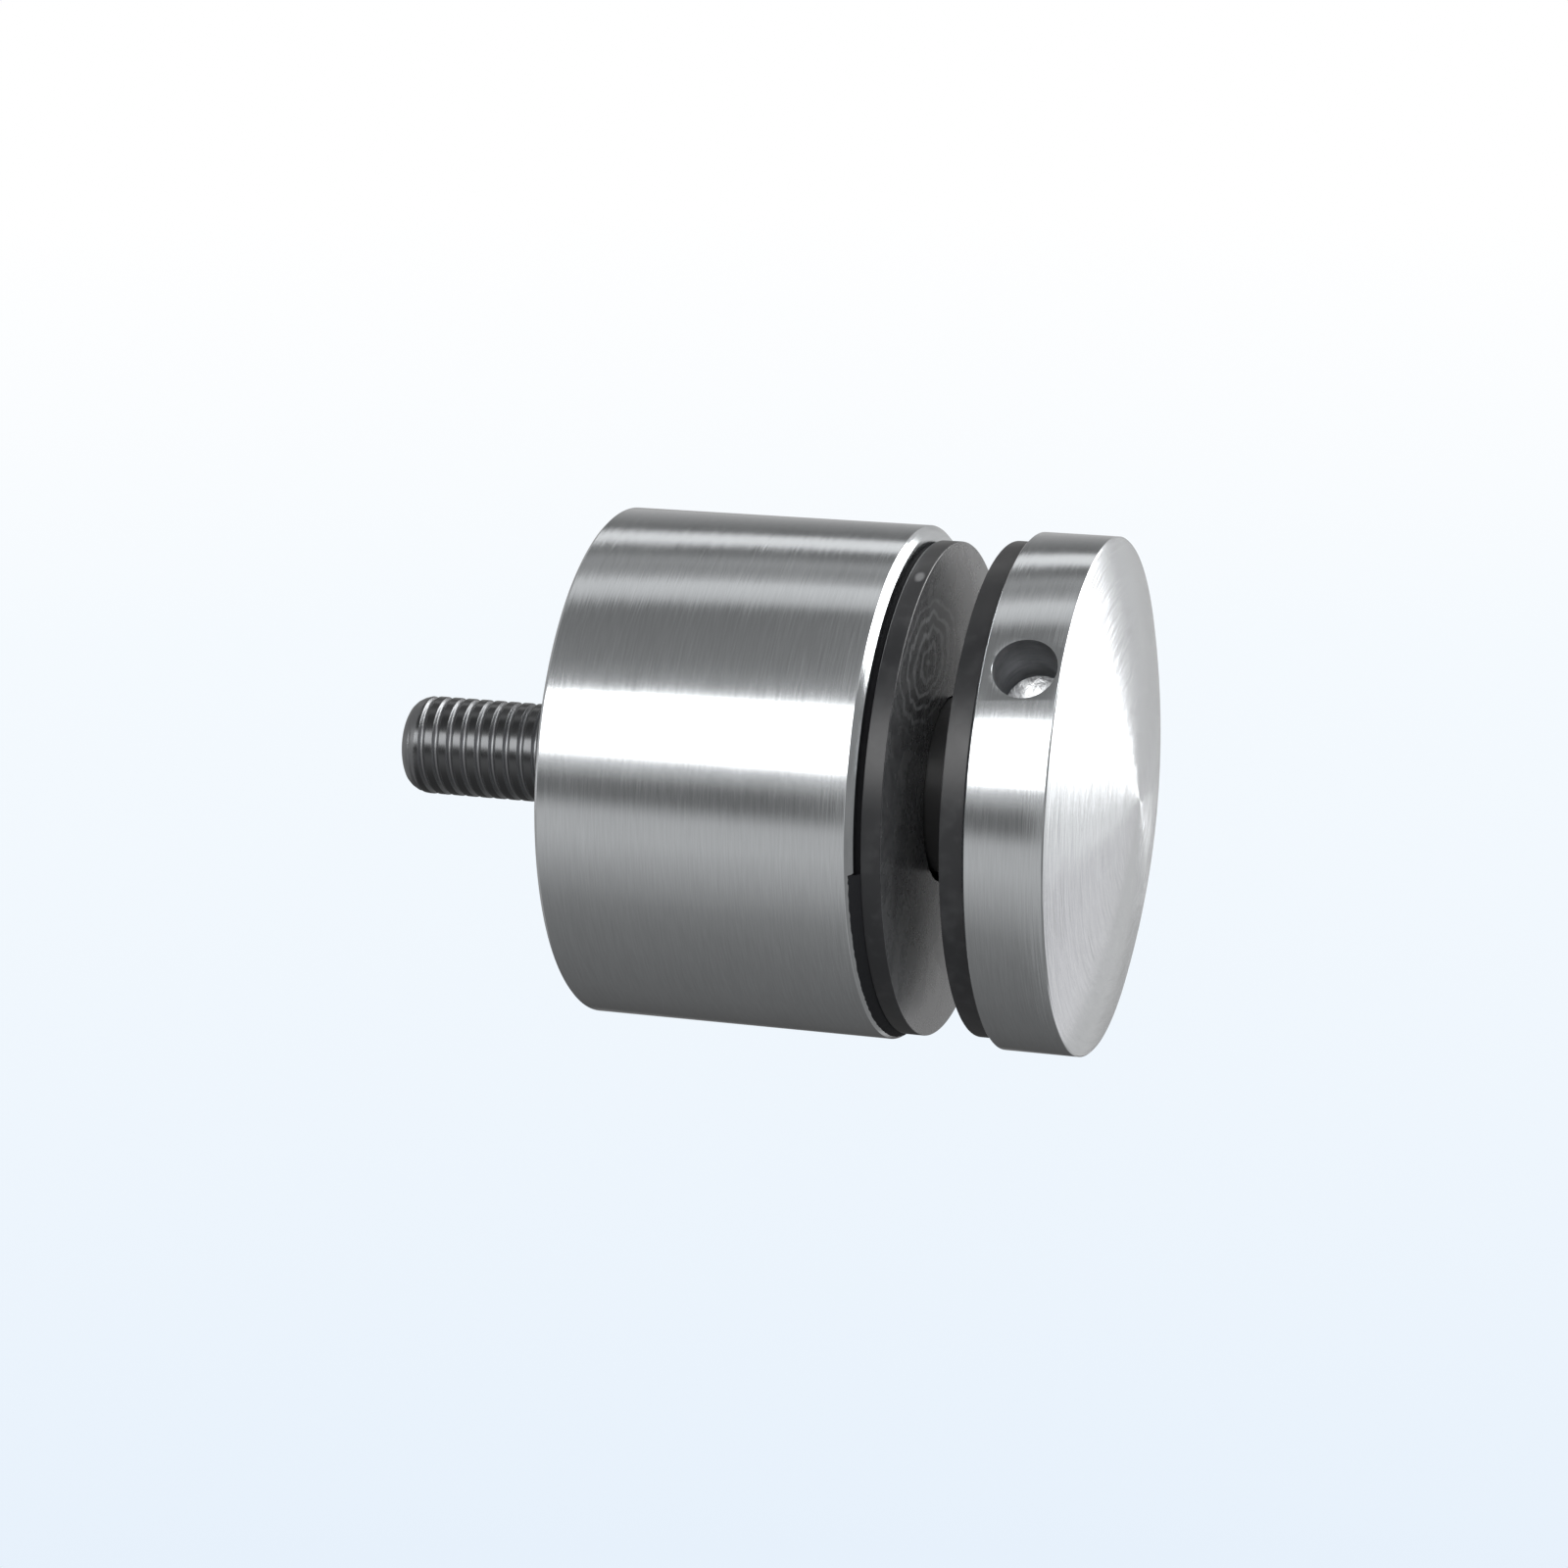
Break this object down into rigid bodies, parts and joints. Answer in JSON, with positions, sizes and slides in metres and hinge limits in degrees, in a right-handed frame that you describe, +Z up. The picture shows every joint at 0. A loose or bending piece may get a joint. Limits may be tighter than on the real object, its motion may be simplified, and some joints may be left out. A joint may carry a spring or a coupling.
{
  "type": "glass mounting bracket",
  "caption": "Round standoff that fixes a glass panel to a wall: threaded stud, turned body, rubber gaskets and a screw-on domed cap.",
  "frame": {"origin": "centre of the body's back face, where it meets the wall", "axes": "+X along the fixing's axis from the wall to the cap, +Z up, the spanner hole towards -Y and up"},
  "size_m": [0.0745, 0.05, 0.05],
  "materials": {
    "standoff_body": "turned",
    "wall_stud": "threaded",
    "rear_gasket": "moulded",
    "glass_sleeve": "moulded",
    "front_gasket": "moulded",
    "clamp_cap": "turned",
    "clamp_stud": "threaded"
  },
  "bodies": {
    "base": {"standoff_body": "standoff_body", "wall_stud": "wall_stud", "rear_gasket": "rear_gasket", "glass_sleeve": "glass_sleeve"},
    "seal": {"front_gasket": "front_gasket"},
    "cap": {"clamp_cap": "clamp_cap", "clamp_stud": "clamp_stud"}
  },
  "joints": [
    {"name": "cap_travel", "type": "slide", "parent": "base", "child": "seal", "axis": [1, 0, 0], "range_m": [0, 0.01]},
    {"name": "cap_turn", "type": "hinge", "parent": "seal", "child": "cap", "pos_m": [0.0415, 0, 0], "axis": [1, 0, 0], "range_deg": [0, 2400]}
  ],
  "couplings": [
    {"joint": "cap_travel", "follows": "cap_turn", "m_per_rad": 0.00023873}
  ]
}
